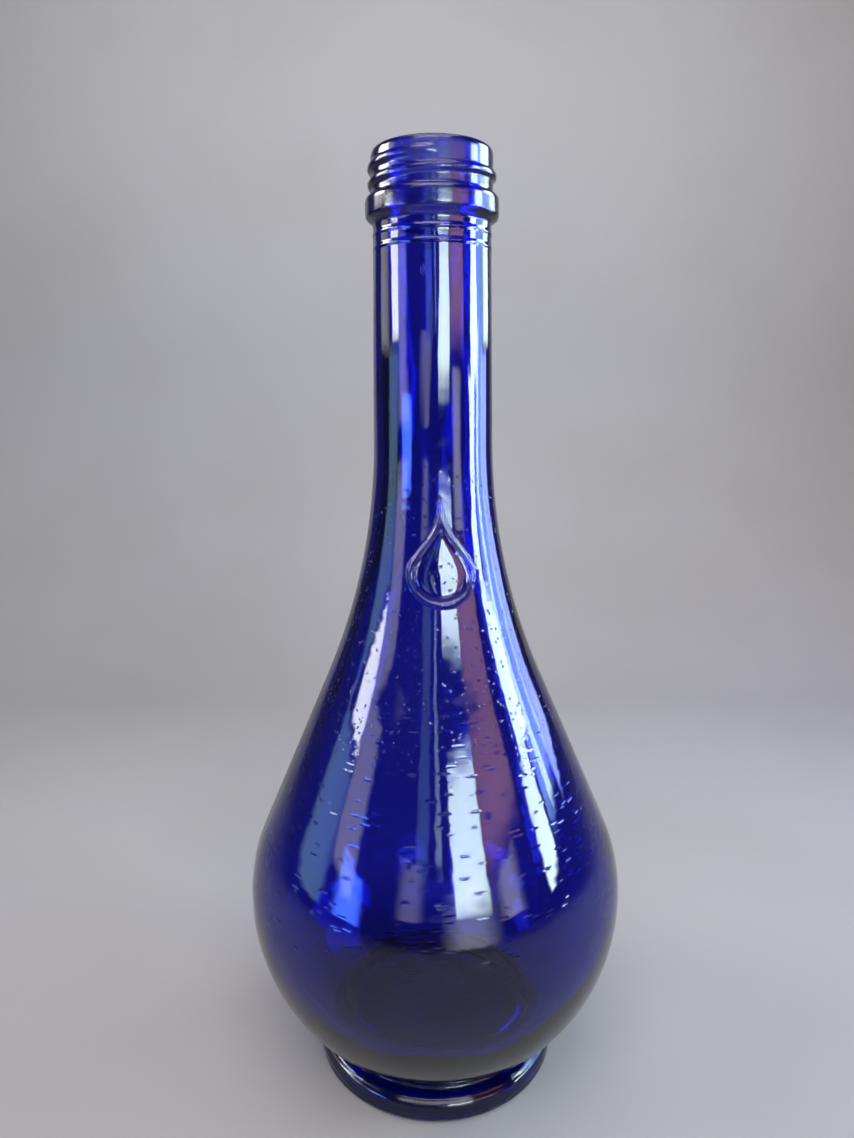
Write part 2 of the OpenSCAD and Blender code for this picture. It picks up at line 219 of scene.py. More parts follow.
# %% Outside outline
collar_under_h, collar_round_r, collar_round_a, collar_top_h, collar_draft = 1.6, 0.8, 60, 0.6, 0.4
neck_top_r, lip_outer_r, lip_inner_r = 12.55, 1.1, 0.7
push_up_points = 30
bearing_r = foot_r - foot_edge_r
ledge_r, ledge_z = foot_r - ledge_edge_r, foot_h - ledge_edge_r
groove_half_a = math.degrees(math.asin(ledge_groove_h / ledge_edge_r))
groove_bottom = arc(ledge_r, ledge_z, ledge_edge_r - ledge_groove_h, ledge_groove_a, ledge_groove_a)[:1]

push_up = np.linspace(0, base_r, push_up_points)
outside = np.concatenate([
    np.stack([push_up, recess_h + push_up_h * (1 + np.cos(np.pi * push_up / base_r)) / 2], 1),
    line((bearing_r - bearing_w, 0)),
    arc(bearing_r, foot_edge_r, foot_edge_r, -90, 0),
    arc(ledge_r, ledge_z, ledge_edge_r, 0, ledge_groove_a - groove_half_a),
    line(*groove_bottom),
    arc(ledge_r, ledge_z, ledge_edge_r, ledge_groove_a + groove_half_a, 90),
    line((groove_c + heel_groove_r * math.cos(math.radians(groove_low)), foot_h)),
    arc(groove_c, groove_z, heel_groove_r, groove_low, groove_top),
    arc(belly_low_c, belly_z, belly_low_r, groove_top - 180, 0),
    arc(belly_high_c, belly_z, belly_high_r, 0, shoulder_lean),
    arc(neck_r + flare_r, neck_z, flare_r, 180 + shoulder_lean, 180),
    line((neck_top_r, collar_z)),
    arc(collar_r - collar_round_r, collar_z + collar_under_h, collar_round_r, -collar_round_a, 0),
    line((collar_r, finish_z - collar_top_h), (collar_r - collar_draft, finish_z), (barrel_r, finish_z)),
    arc(barrel_r - lip_outer_r, top_z - lip_outer_r, lip_outer_r, 0, 90),
    arc(bore_r + lip_inner_r, top_z - lip_inner_r, lip_inner_r, 90, 180),
])
print("outside outline of", len(outside), "points")

# %% [markdown]
# The inside is plainer. The neck's bore is straight, because a plunger pressed it, and the belly
# follows the outside at the wall's thickness. Low down the hollow is rounder than the outside, so
# the glass is thick at the heel, and that thick ring is what gathers light over the foot.

# %% Inside outline
bowl_r = belly_r - wall - bowl_c
wall_points, floor_points = 90, 24


def out_radius(z):
    """Plain outside radius at a height between the heel and the collar."""
    z = np.asarray(z, float)
    lean = np.radians(shoulder_lean)
    return np.select(
        [z < belly_z, z < shoulder_z, z < flare_z, z < neck_z],
        [belly_low_c + np.sqrt(np.maximum(0, belly_low_r**2 - (z - belly_z) ** 2)),
         belly_high_c + np.sqrt(np.maximum(0, belly_high_r**2 - (z - belly_z) ** 2)),
         shoulder_r - (z - shoulder_z) * np.tan(lean),
         neck_r + flare_r - np.sqrt(np.maximum(0, flare_r**2 - (neck_z - z) ** 2))],
        neck_r + (neck_top_r - neck_r) * (z - neck_z) / (collar_z - neck_z))


def wall_at(z):
    """Thickness of the wall: even in belly and shoulder, easing to the neck's over the flare."""
    up = np.clip((np.asarray(z, float) - flare_z) / (neck_z - flare_z), 0, 1)
    return wall + (neck_r - bore_r - wall) * up


heights = np.linspace(neck_z, belly_z, wall_points)
bowl_low = belly_z - math.sqrt(bowl_r**2 - (floor_r - bowl_c) ** 2)
floor_top = recess_h + push_up_h + base_t
floor_in = np.linspace(floor_r, 0, floor_points)
inside = np.concatenate([
    line((bore_r, neck_z)),
    np.stack([out_radius(heights) - wall_at(heights), heights], 1)[1:-1],
    arc(bowl_c, belly_z, bowl_r, 0, -math.degrees(math.acos((floor_r - bowl_c) / bowl_r))),
    np.stack([floor_in, bowl_low + (floor_top - bowl_low) * (1 + np.cos(np.pi * floor_in / floor_r)) / 2], 1),
])
outline = np.concatenate([outside, inside])
print(f"glass over the push-up {base_t:.1f}, wall {wall:.1f}")

# %% Soften and step the outline
fine_step = 0.05
mould_soft, fire_soft, blown_soft = 0.12, 0.3, 2.5
fire_ease, blown_below, blur_reaches = 1.5, 5, 4


def walk(points, step):
    """The outline cut into even steps along its length."""
    run = np.concatenate([[0], np.cumsum(np.hypot(*np.diff(points, axis=0).T))])
    keep = np.concatenate([[True], np.diff(run) > 1e-9])
    at = np.linspace(0, run[-1], int(run[-1] / step) + 1)
    return np.stack([np.interp(at, run[keep], points[keep][:, k]) for k in (0, 1)], 1)


def blur(points, reach):
    """A blur along the outline that leaves its two ends where they are."""
    half = int(blur_reaches * reach / fine_step)
    weight = np.exp(-0.5 * (np.arange(-half, half + 1) * fine_step / reach) ** 2)
    weight /= weight.sum()
    ends = [2 * points[0] - points[half:0:-1], points, 2 * points[-1] - points[-2:-half - 2:-1]]
    padded = np.concatenate(ends)
    return np.stack([np.convolve(padded[:, k], weight, "valid") for k in (0, 1)], 1)


fine = walk(outline, fine_step)
fired = np.clip((fine[:, 1] - collar_z + fire_ease) / fire_ease, 0, 1)[:, None]
soft = blur(fine, mould_soft) * (1 - fired) + blur(fine, fire_soft) * fired
blown = (np.arange(len(fine)) > np.argmax(fine[:, 1])) & (fine[:, 1] < collar_z - blown_below)
soft[blown] = blur(fine, blown_soft)[blown]
print("outline length", round(len(fine) * fine_step), "mm")

# %% [markdown]
# Rows of points are dear, so they go where the shape needs them: a fifth to a third of a
# millimetre apart over the foot, the drop, the parting lines and the finish, and one and a half to
# two and a half millimetres apart on the plain belly and inside. The same holds round the bottle:
# columns crowd at the drop, closer still at its spine, and at the two seams of the mould. One helper
# spaces both. Row gaps are in millimetres along the outline, column gaps in degrees of turn.

# %% Rows and columns
drop_low, drop_top = low_of("drop_bevel"), top_of("drop_bevel")
parting_gap = 2.75
front = -90.0
spacing_steps = 20001
row_plain, row_inside, row_under, row_foot = 1.55, 2.6, 1.5, 0.32
row_drop, row_parting, row_finish, row_mouth = 0.26, 0.21, 0.25, 0.3
foot_reach, row_margin, parting_reach = 10, 1, 1.5
column_plain, column_drop, column_spine, column_seam = 2.8, 0.72, 0.45, 0.4
drop_side, spine_side, seam_side = 28, 4, 1.2


def spaced(start, stop, gap_at):
    """Values from start to stop whose spacing follows gap_at."""
    at = np.linspace(start, stop, spacing_steps)
    count = np.concatenate([[0], np.cumsum(np.diff(at) / gap_at((at[1:] + at[:-1]) / 2))])
    return np.interp(np.linspace(0, count[-1], int(round(count[-1])) + 1), count, at)


lip_index = int(np.argmax(soft[:, 1]))


def row_gap(index):
    z = np.interp(index, np.arange(len(soft)), soft[:, 1])
    r = np.interp(index, np.arange(len(soft)), soft[:, 0])
    outer = index < lip_index
    gap = np.where(outer, row_plain, row_inside)
    gap = np.where(outer & (z < foot_reach), row_foot, gap)
    gap = np.where(outer & (r < base_r - row_margin), row_under, gap)
    gap = np.where(outer & (z > drop_low - row_margin) & (z < drop_top + row_margin), row_drop, gap)
    at_parting = (z > neck_ring_z - row_margin) & (z < neck_ring_z + parting_gap + parting_reach)
    gap = np.where(outer & at_parting, row_parting, gap)
    gap = np.where(outer & (z > collar_z - row_margin), row_finish, gap)
    gap = np.where(~outer & (z > lip_z), row_mouth, gap)
    return gap / fine_step


def column_gap(angle):
    from_front = np.abs((angle - front + 180) % 360 - 180)
    from_seam = np.minimum(np.abs(angle), np.abs(np.abs(angle) - 180))
    gap = np.where(from_front < drop_side, column_drop, column_plain)
    gap = np.where(from_front < spine_side, column_spine, gap)
    return np.where(from_seam < seam_side, column_seam, gap)


rows_at = spaced(0, len(soft) - 1, row_gap)
rows = np.stack([np.interp(rows_at, np.arange(len(soft)), soft[:, k]) for k in (0, 1)], 1)
is_outer = rows_at <= lip_index
columns = spaced(-180, 180, column_gap)[:-1]
print(len(rows), "rows by", len(columns), "columns")

# %% [markdown]
# ## Relief on the outside
# What stands on the glass is a height added to the plain radius: the screw thread, the parting
# lines of the neck ring, the seams down both sides and the drop. The thread is right-handed. It
# starts at the front near the rim, runs down to the left for about one and a half turns, and rises
# from the barrel and sinks into it again over a short taper.

# %% Thread, parting lines and seams
thread_relief, thread_pitch, thread_drop, thread_gap = 0.7, 3.18, 1.1, 0.53
thread_root_w, thread_crest_w, thread_taper = 2.0, 0.8, 24.0
barrel_below, barrel_above = 0.2, 0.3
parting_h, parting_w, parting_round = 0.12, 0.5, 1.2
seam_h, seam_w, seam_below_rim = 0.07, 0.5, 1

angle, z = np.meshgrid(columns, rows[:, 1])
plain_r = np.repeat(rows[:, :1], len(columns), 1)
outer = np.repeat(is_outer[:, None], len(columns), 1)


def ease(share):
    """A smooth climb from nothing to one."""
    share = np.clip(share, 0, 1)
    return share * share * (3 - 2 * share)


thread_start_z = lip_z - thread_drop
thread_sweep = 360 * (thread_start_z - (finish_z + thread_gap + thread_root_w / 2)) / thread_pitch
first_turn = (front - angle) % 360
relief = np.zeros_like(z)
for turn in (first_turn, first_turn + 360):
    off = np.abs(z - (thread_start_z - thread_pitch * turn / 360))
    ridge = ease((thread_root_w / 2 - off) / (thread_root_w - thread_crest_w) * 2)
    taper = ease(np.minimum(turn, thread_sweep - turn) / thread_taper)
    on_barrel = outer & (z > finish_z - barrel_below) & (z < top_z - barrel_above)
    relief = np.maximum(relief, np.where(on_barrel, thread_relief * ridge * taper, 0))
for line_z in (neck_ring_z, neck_ring_z + parting_gap):
    off = np.abs(z - line_z - parting_w / 2)
    relief += np.where(outer, parting_h * ease(parting_round - off / parting_w), 0)
from_seam = np.minimum(np.abs(angle), np.abs(np.abs(angle) - 180)) * math.pi / 180 * plain_r
has_seam = outer & (z > foot_h) & (z < top_z - seam_below_rim)
relief += np.where(has_seam, seam_h * ease(1 - from_seam / seam_w), 0)
print(f"thread turns {thread_sweep:.0f} degrees, highest relief so far {relief.max():.2f}")

# %% [markdown]
# ## The drop
# The drop is a nearly flat boss in a rounded frame, pressed out of the flare. Each outline is half an
# ellipse up to the widest line, and above it a bell curve that runs out in a thin spine to its tip.
# The frame's height follows how far a point is from its outer edge and how far from the boss, as
# shares of the way between them, so it is a round bead at the sides and a ridge along the spine. A
# sculpted shape would do as well, but this keeps every crest where the model has it.

# %% Drop outline
drop_w, drop_bevel_w, drop_tip_l = 2 * radius_of("drop_bevel"), 1.4, 5.0
widest_share, frame_bell, boss_bell, drop_spine, spine_end, crown_share = 0.31, 5, 1.5, 0.1, 0.3, 0.35
edge_points = 241
drop_h = drop_top - drop_low
boss_w, boss_h = drop_w - 2 * drop_bevel_w, drop_h - 2 * drop_bevel_w - drop_tip_l
boss_mid = np.array([0, drop_bevel_w + boss_h * crown_share])


def drop_half(share, bell):
    """Half width of a drop at a share of its height, as a share of its largest."""
    over = (share - widest_share) / (1 - widest_share)
    slender = (np.exp(-bell * over**2) - math.exp(-bell)) / (1 - math.exp(-bell))
    return np.where(share < widest_share, np.sqrt(np.clip(1 - (1 - share / widest_share) ** 2, 0, 1)),
                    (1 - drop_spine) * slender + drop_spine * np.clip(1 - over, 0, 1) ** spine_end)


def drop_edge(width, height, bell, lift):
    """The drop's outline as points, from the tip down one side and up the other."""
    up = (1 - np.cos(np.linspace(0, np.pi, edge_points))) / 2
    side = np.stack([width / 2 * drop_half(up, bell), height * up + lift], 1)
    return np.concatenate([side[::-1], side * [-1, 1]])


def inside_drop(across, up, width, height, bell):
    half = width / 2 * drop_half(np.clip(up / height, 0, 1), bell)
    return (up > 0) & (up < height) & (np.abs(across) < half)


def gap_to(edge, across, up):
    """Distance of each point from the nearest point of an outline."""
    return np.min(np.hypot(across[:, None] - edge[:, 0], up[:, None] - edge[:, 1]), 1)


frame_edge = drop_edge(drop_w, drop_h, frame_bell, 0)
boss_edge = drop_edge(boss_w, boss_h, boss_bell, drop_bevel_w)
print(f"drop {drop_w:.1f} by {drop_h:.1f}, boss {boss_w:.1f} by {boss_h:.1f}")

# %% Drop relief
drop_edge_h, drop_crest_h, drop_dip_h = 0.15, 1.0, 0.35
boss_rim_h, boss_crown_h, boss_flat = 0.4, 1.3, 8
face_dip_h, face_dip_share = 0.12, 0.8
drop_margin, drop_turn = 1, 35

near_drop = outer & (z > drop_low - drop_margin) & (z < drop_top + drop_margin)
near_drop &= np.abs(angle - front) < drop_turn
across = (plain_r * np.sin(np.radians(angle - front)))[near_drop]
up = z[near_drop] - drop_low
in_frame = inside_drop(across, up, drop_w, drop_h, frame_bell)
in_boss = inside_drop(across, up - drop_bevel_w, boss_w, boss_h, boss_bell)
to_frame, to_boss = gap_to(frame_edge, across, up), gap_to(boss_edge, across, up)

inward = np.clip(to_frame / np.minimum(to_frame + to_boss, drop_bevel_w), 0, 1)
bead = np.sqrt(np.clip(1 - (2 * inward - 1) ** 2, 0, 1))
bead_h = (drop_edge_h + (drop_dip_h - drop_edge_h) * inward) * (1 - bead) + drop_crest_h * bead
way = np.arctan2(across - boss_mid[0], up - boss_mid[1])
edge_way = np.unwrap(np.arctan2(boss_edge[:, 0] - boss_mid[0], boss_edge[:, 1] - boss_mid[1]))
edge_reach = np.hypot(*(boss_edge - boss_mid).T)
by_way = np.argsort(edge_way)
reach = np.interp(way, edge_way[by_way], edge_reach[by_way], period=2 * np.pi)
outward = np.clip(np.hypot(across - boss_mid[0], up - boss_mid[1]) / reach, 0, 1)
face_h = (boss_rim_h + (boss_crown_h - boss_rim_h) * np.sqrt(1 - outward**boss_flat)
          - face_dip_h * ease(1 - outward / face_dip_share))
drop_relief = np.zeros_like(z)
drop_relief[near_drop] = np.where(in_boss, face_h, np.where(in_frame, bead_h, 0))
soften_drop = np.array([0.25, 0.5, 0.25])
for axis in (0, 1):
    drop_relief = np.apply_along_axis(np.convolve, axis, drop_relief, soften_drop, "same")
relief += np.where(near_drop, drop_relief, 0)
print(f"crown {drop_relief.max():.2f} high")

# %% [markdown]
# ## Uneven glass
# No bottle is a true turned shape. The outside took the mould's slight waves, and the inside,
# which only air or a plunger touched, is more uneven. These waves bend each mirrored lamp into a
# wandering streak, which is most of what tells glass from plastic. They could be a bump map, but
# geometry bends what is seen through the wall too. Each wave is a cosine with a whole number of
# turns round the bottle, so it meets itself, and the random numbers have a seed.

# %% Waves of the wall
chance = np.random.default_rng(17)
foot_calm, foot_ease, collar_ease, floor_ease, mouth_ease = 2, 8, 6, 6, 14
long_h, short_h, long_inside_h, short_inside_h = 0.035, 0.008, 0.16, 0.035


def waves(count, turns, lengths, height):
    """A sum of cosines: whole turns round the bottle, lengths in mm up it."""
    total = np.zeros_like(z)
    for _ in range(count):
        around = chance.integers(turns[0], turns[1] + 1)
        up = 2 * np.pi / chance.uniform(*lengths) * chance.choice([-1, 1])
        total += np.cos(around * np.radians(angle) + up * z + chance.uniform(0, 2 * np.pi))
    return height * total / math.sqrt(count)


free = ease((z - foot_h - foot_calm) / foot_ease) * ease((collar_z - z) / collar_ease)
free_inside = ease((z - bowl_low) / floor_ease) * ease((top_z - z) / mouth_ease)
mould_waves = waves(7, (2, 9), (40, 160), long_h) + waves(9, (8, 26), (18, 90), short_h)
air_waves = waves(6, (1, 5), (30, 120), long_inside_h) + waves(8, (4, 14), (14, 60), short_inside_h)
relief += np.where(outer, free * mould_waves, 0)
relief += np.where(~outer, free_inside * air_waves, 0)
print(f"wall unevenness up to {np.abs(relief[~is_outer]).max():.2f} inside")

# %% [markdown]
# ## One closed skin of glass
# Rows and columns now become points: out along the underside, up the outside, over the rim and
# down the inside to the floor. One closed skin with its faces pointing out of the glass is what
# the renderer needs to bend light rightly. Separate solids for the zones, as in the model, would
# show a false mirror at every joint, so this one piece stands for all of them.

# %% Glass points and faces
radius = np.minimum(np.maximum(plain_r + relief, 0), belly_r)  # no wave reaches past the widest circle
turn = np.radians(angle)
points = np.stack([radius * np.cos(turn), radius * np.sin(turn), z], 2)[1:-1]
row_count, column_count = points.shape[:2]
corner = np.arange(row_count * column_count).reshape(row_count, column_count)
beside = np.roll(corner, -1, 1)
quads = np.stack([corner[:-1], beside[:-1], beside[1:], corner[1:]], 2).reshape(-1, 4)
vertices = [tuple(p) for p in points.reshape(-1, 3) * MM]
vertices += [(0, 0, rows[0, 1] * MM), (0, 0, rows[-1, 1] * MM)]
under_mid, floor_mid = len(vertices) - 2, len(vertices) - 1
faces = [tuple(f) for f in quads.tolist()]
faces += [(under_mid, int(b), int(a)) for a, b in zip(corner[0], beside[0])]
faces += [(floor_mid, int(a), int(b)) for a, b in zip(corner[-1], beside[-1])]
print(len(vertices), "points,", len(faces), "faces")

# %% [markdown]
# ## Seeds
# Old glass holds small bubbles, which glassmakers call seeds. Each is a hollow in the wall, so it
# is a little closed surface in the same mesh with its faces turned the other way, into the bubble.
# They are drawn out a little upwards, as the glass was when it was blown. One flat blister sits
# under the skin of the neck, left of the front.

# %% Seeds in the wall
seed_count, seed_rings, seed_sides = 34, 6, 10
seed_lowest, seed_below_ring = 20, 6
seed_sizes, seed_stretches = (0.12, 0.34), (1.1, 2.2)
blister_turn, blister_z, blister_depth = math.radians(-105), 184.7, 0.9
blister_wide, blister_deep, blister_tall = 0.75, 0.2, 1.2
pick = random.Random(5)


def add_seed(turn, height, depth, wide, deep, tall):
    """A closed hollow, a depth under the outside, with its half sizes along, into and up the wall."""
    away, up = Vector((math.cos(turn), math.sin(turn), 0)), Vector((0, 0, 1))
    along = up.cross(away)
    middle = away * (float(out_radius(height)) - depth) + up * height
    first = len(vertices)
    for k in range(1, seed_rings):
        tilt = math.pi * k / seed_rings
        for i in range(seed_sides):
            way_round = 2 * math.pi * i / seed_sides
            vertices.append(tuple((middle + away * deep * math.sin(tilt) * math.cos(way_round)
                                   + along * wide * math.sin(tilt) * math.sin(way_round)
                                   + up * tall * math.cos(tilt)) * MM))
    vertices.extend(tuple((middle + up * tall * side) * MM) for side in (1, -1))
    top, bottom = len(vertices) - 2, len(vertices) - 1
    last_ring = first + (seed_rings - 2) * seed_sides
    for i in range(seed_sides):
        j = (i + 1) % seed_sides
        faces.append((top, first + j, first + i))
        faces.append((bottom, last_ring + i, last_ring + j))
        for k in range(seed_rings - 2):
            a, b = first + k * seed_sides, first + (k + 1) * seed_sides
            faces.append((a + i, a + j, b + j, b + i))


for _ in range(seed_count):
    seed_z = pick.uniform(seed_lowest, neck_ring_z - seed_below_ring)
    seed_turn = pick.uniform(0, 2 * math.pi)
    seed_wall = float(wall_at(seed_z)) if seed_z > belly_z else wall
    seed_size, stretch = pick.uniform(*seed_sizes), pick.uniform(*seed_stretches)
    add_seed(seed_turn, seed_z, seed_wall / 2, seed_size, seed_size, seed_size * stretch)
add_seed(blister_turn, blister_z, blister_depth, blister_wide, blister_deep, blister_tall)
print(seed_count, "seeds and a blister")

# %% Bottle object
glass_mesh = bpy.data.meshes.new("bottle_glass")
glass_mesh.from_pydata(vertices, [], faces)
glass_mesh.validate()
glass_mesh.polygons.foreach_set("use_smooth", [True] * len(glass_mesh.polygons))
glass_mesh.update()
bottle_glass = bpy.data.objects.new("bottle_glass", glass_mesh)
scene.collection.objects.link(bottle_glass)
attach(bottle_glass, "root")
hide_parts(*sorted(frame["nodes"]))
print("glass faces:", len(glass_mesh.polygons))

# %% [markdown]
# ## Cobalt glass
# The colour of such glass sits inside it, not on it: cobalt takes out the yellow, red and green as
# light passes, so thick places are nearly black and thin ones glow. A volume absorption gives just
# that, with a clear surface round it. A tinted surface would be the same blue everywhere.

# %% Glass material
glass_ior, cobalt_tint, cobalt_density = 1.52, (0.03, 0.09, 0.815), 760
cobalt_glass = bpy.data.materials.new("cobalt_glass")
cobalt_glass.use_nodes = True
tree = cobalt_glass.node_tree
glass = tree.nodes["Principled BSDF"]
glass.inputs["Base Color"].default_value = (1, 1, 1, 1)
glass.inputs["Transmission Weight"].default_value = 1
glass.inputs["IOR"].default_value = glass_ior
blue_depth = tree.nodes.new("ShaderNodeVolumeAbsorption")
blue_depth.inputs["Color"].default_value = (*cobalt_tint, 1)
blue_depth.inputs["Density"].default_value = cobalt_density
tree.links.new(blue_depth.outputs["Volume"], tree.nodes["Material Output"].inputs["Volume"])
bottle_glass.data.materials.append(cobalt_glass)
passed = [math.exp(-cobalt_density * (1 - share) * wall * MM) for share in cobalt_tint]
print("red, green and blue that one wall lets through:", [round(share, 2) for share in passed])

# %% [markdown]
# ## Dust and rubs
# Nothing on a table is quite clean. Fine dust settles in specks and in cloudy patches, on the glass
# and on the paper alike, so it is made once, as a node group with its own inputs, and each material
# takes it at its own scale. On glass a speck only dulls the shine. A painted map would do too, but
# noise in the object's own space needs no unwrapping and never repeats.

# %% Dust group
def group_node(tree, kind, **values):
    """A new shader node of a kind, with its own settings."""
    node = tree.nodes.new("ShaderNode" + kind)
    for name, value in values.items():
        setattr(node, name, value)
    return node


dust = bpy.data.node_groups.new("dust", "ShaderNodeTree")
dust_inputs = (("Speck Scale", 1, 5000, 900), ("Patch Scale", 1, 500, 40), ("Amount", 0, 1, 0.1))
patch_low, patch_high = 0.45, 0.75
for name, low, high, value in dust_inputs:
    socket = dust.interface.new_socket(name, in_out="INPUT", socket_type="NodeSocketFloat")
    socket.min_value, socket.max_value, socket.default_value = low, high, value
for name in ("Specks", "Patches"):
    dust.interface.new_socket(name, in_out="OUTPUT", socket_type="NodeSocketFloat")
given, made = dust.nodes.new("NodeGroupInput"), dust.nodes.new("NodeGroupOutput")
place = group_node(dust, "TexCoord")
speck_noise = group_node(dust, "TexVoronoi")
speck_size = group_node(dust, "Math", operation="MULTIPLY")
speck_size.inputs[1].default_value = 0.5
speck_mask = group_node(dust, "Math", operation="LESS_THAN")
patch_noise = group_node(dust, "TexNoise")
patch_noise.inputs["Detail"].default_value = 5
patch_mask = group_node(dust, "MapRange")
patch_mask.inputs["From Min"].default_value = patch_low
patch_mask.inputs["From Max"].default_value = patch_high
dust.links.new(place.outputs["Object"], speck_noise.inputs["Vector"])
dust.links.new(given.outputs["Speck Scale"], speck_noise.inputs["Scale"])
dust.links.new(given.outputs["Amount"], speck_size.inputs[0])
dust.links.new(speck_noise.outputs["Distance"], speck_mask.inputs[0])
dust.links.new(speck_size.outputs[0], speck_mask.inputs[1])
dust.links.new(place.outputs["Object"], patch_noise.inputs["Vector"])
dust.links.new(given.outputs["Patch Scale"], patch_noise.inputs["Scale"])
dust.links.new(patch_noise.outputs["Fac"], patch_mask.inputs["Value"])
dust.links.new(speck_mask.outputs[0], made.inputs["Specks"])
dust.links.new(patch_mask.outputs["Result"], made.inputs["Patches"])
print("dust group with", len(dust.nodes), "nodes")

# %% [markdown]
# The shine of the glass is nearly perfect, with a little haze where it was handled and a dull point
# at each speck of dust. The masks of the group are scaled and added, and drive the roughness.

# %% Shine of the glass
haze_added, haze_least, speck_dull = 0.045, 0.012, 0.2
glass_dust = tree.nodes.new("ShaderNodeGroup")
glass_dust.node_tree = dust
glass_dust.inputs["Speck Scale"].default_value = 420
glass_dust.inputs["Patch Scale"].default_value = 55
glass_dust.inputs["Amount"].default_value = 0.12
haze = group_node(tree, "Math", operation="MULTIPLY_ADD")
haze.inputs[1].default_value, haze.inputs[2].default_value = haze_added, haze_least
dull = group_node(tree, "Math", operation="MULTIPLY_ADD")
dull.inputs[1].default_value = speck_dull
tree.links.new(glass_dust.outputs["Patches"], haze.inputs[0])
tree.links.new(glass_dust.outputs["Specks"], dull.inputs[0])
tree.links.new(haze.outputs[0], dull.inputs[2])
print(f"clean glass is {haze_least} rough, a speck of dust adds {speck_dull}")

# %% [markdown]
# ## The skin of the glass
# The mould was worn, and the glass met it while stiffening. The flare and the upper shoulder came
# out pebbled, like orange peel with small pits. Lower down the pits are drawn out level, and the
# neck has fine upright lines. All are far smaller than the wall's waves, so they are a bump, which
# only tilts the shine. Each is kept to its zone by the height of the point, easing in and out. The
# thread and the collar were rubbed by the cap, so they are a little rougher than the rest.

# %% Peel and ripples
flare_band, lower_band = (78, 94, 136, 150), (40, 50, 84, 100)
neck_band, cap_band = (128, 142, 192, 197), (193, 196, 215, 220)
pit_scale, level_pit_scale, peel_scale, upright_scale = 700, 800, 420, 700
pit_reach, level_pit_reach = 0.25, 0.3
peel_share, pit_share, level_pit_share, upright_share, neck_peel_share = 0.3, 1.0, 0.7, 0.6, 0.6
skin_depth, cap_rubbed = 0.00006, 0.13

skin_place = group_node(tree, "TexCoord")
skin_split = group_node(tree, "SeparateXYZ")
tree.links.new(skin_place.outputs["Object"], skin_split.inputs[0])


def zone(low, full_low, full_high, high):
    """One between two heights in mm, easing to nothing outside them."""
    rise, fall = group_node(tree, "MapRange"), group_node(tree, "MapRange")
    both = group_node(tree, "Math", operation="MULTIPLY")
    for node, start, stop in ((rise, low, full_low), (fall, high, full_high)):
        node.interpolation_type = "SMOOTHSTEP"
        node.inputs["From Min"].default_value = start * MM
        node.inputs["From Max"].default_value = stop * MM
        tree.links.new(skin_split.outputs["Z"], node.inputs["Value"])
    for k, node in enumerate((rise, fall)):
        tree.links.new(node.outputs["Result"], both.inputs[k])
    return both.outputs[0]


def times(a, b):
    """Two node outputs multiplied, or one by a plain number."""
    node = group_node(tree, "Math", operation="MULTIPLY")
    tree.links.new(a, node.inputs[0])
    if isinstance(b, float):
        node.inputs[1].default_value = b
    else:
        tree.links.new(b, node.inputs[1])
    return node.outputs[0]


def plus(a, b):
    """Two node outputs added."""
    node = group_node(tree, "Math", operation="ADD")
    tree.links.new(a, node.inputs[0])
    tree.links.new(b, node.inputs[1])
    return node.outputs[0]


def stretched(x, y, up):
    """The point in the bottle, scaled so that a pattern is drawn out along what is scaled down."""
    node = group_node(tree, "Mapping")
    node.inputs["Scale"].default_value = (x, y, up)
    tree.links.new(skin_place.outputs["Object"], node.inputs["Vector"])
    return node.outputs["Vector"]


def pits(vector, scale, reach):
    """Small hollows: nothing at their middle and one from their reach outwards."""
    cells = group_node(tree, "TexVoronoi")
    shape = group_node(tree, "MapRange", interpolation_type="SMOOTHSTEP")
    cells.inputs["Scale"].default_value = scale
    shape.inputs["From Max"].default_value = reach
    tree.links.new(vector, cells.inputs["Vector"])
    tree.links.new(cells.outputs["Distance"], shape.inputs["Value"])
    return shape.outputs["Result"]


def noise(vector, scale, detail):
    """Plain cloudy noise."""
    node = group_node(tree, "TexNoise")
    node.inputs["Scale"].default_value, node.inputs["Detail"].default_value = scale, detail
    tree.links.new(vector, node.inputs["Vector"])
    return node.outputs["Fac"]


plain, level, upright = stretched(1, 1, 1), stretched(0.22, 0.22, 1), stretched(1, 1, 0.03)
flare_zone, lower_zone, neck_zone = zone(*flare_band), zone(*lower_band), zone(*neck_band)
peel = times(noise(plain, peel_scale, 0), peel_share)
flare_skin = plus(times(pits(plain, pit_scale, pit_reach), pit_share), peel)
lower_skin = plus(times(pits(level, level_pit_scale, level_pit_reach), level_pit_share), peel)
neck_skin = plus(times(noise(upright, upright_scale, 0), upright_share), times(peel, neck_peel_share))
body_skin = plus(times(flare_skin, flare_zone), times(lower_skin, lower_zone))
skin_height = plus(body_skin, times(neck_skin, neck_zone))
cap_rub = times(zone(*cap_band), cap_rubbed)
tree.links.new(plus(dull.outputs[0], cap_rub), glass.inputs["Roughness"])
skin = group_node(tree, "Bump")
skin.inputs["Strength"].default_value, skin.inputs["Distance"].default_value = 1.0, skin_depth
tree.links.new(skin_height, skin.inputs["Height"])
tree.links.new(skin.outputs["Normal"], glass.inputs["Normal"])
print("glass material with", len(tree.nodes), "nodes")
